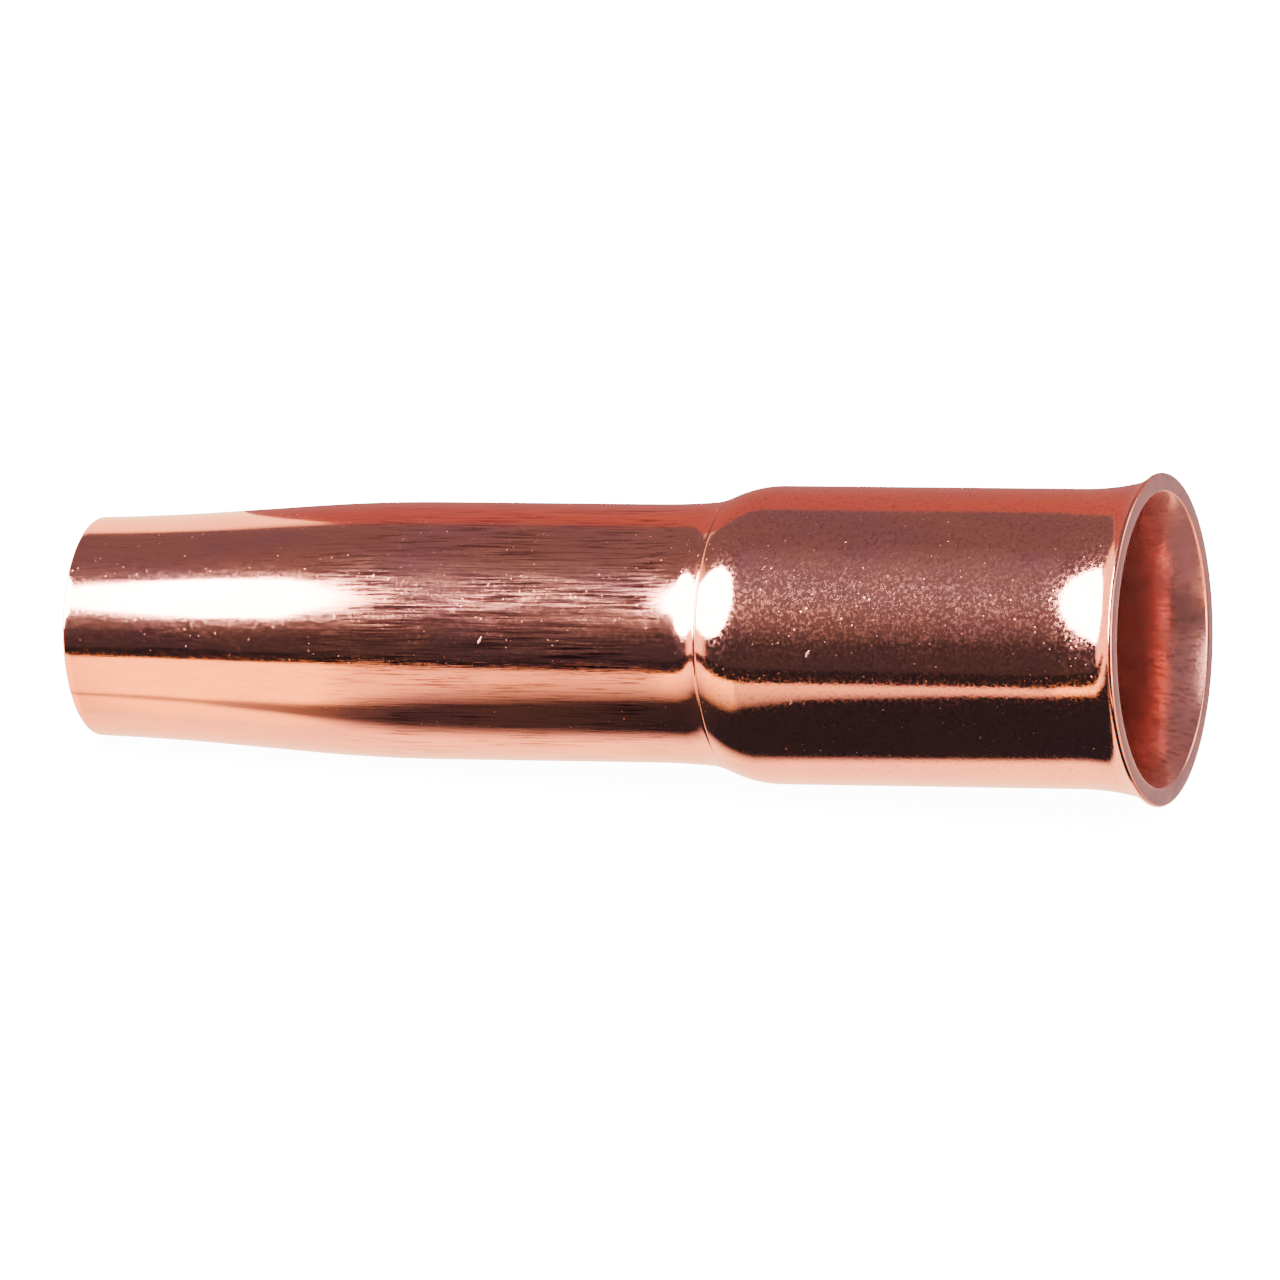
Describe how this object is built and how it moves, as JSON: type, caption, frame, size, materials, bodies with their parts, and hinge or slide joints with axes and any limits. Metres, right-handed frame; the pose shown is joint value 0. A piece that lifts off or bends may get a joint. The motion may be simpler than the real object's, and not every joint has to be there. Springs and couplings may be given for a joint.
{
  "type": "gas nozzle",
  "caption": "Stepped copper tube nozzle: tapered gas orifice at the front, plain tube, swelled shoulder and a wider rear socket with a bell-mouthed rim.",
  "frame": {"origin": "on the tube's axis, at the mouth end of the straight socket bore, 5 mm inside the bell mouth's face", "axes": "+X along the tube's axis, out of the bell mouth; -X out of the gas orifice; the part is round, so Y and Z are any two directions square to it"},
  "size_m": [0.083, 0.0244, 0.0244],
  "materials": {
    "copper": "bare drawn copper, bright, with fine lengthwise draw lines on the plain tube and a slightly mottled socket"
  },
  "bodies": {
    "root": {"nozzle_body": "copper"}
  },
  "joints": []
}
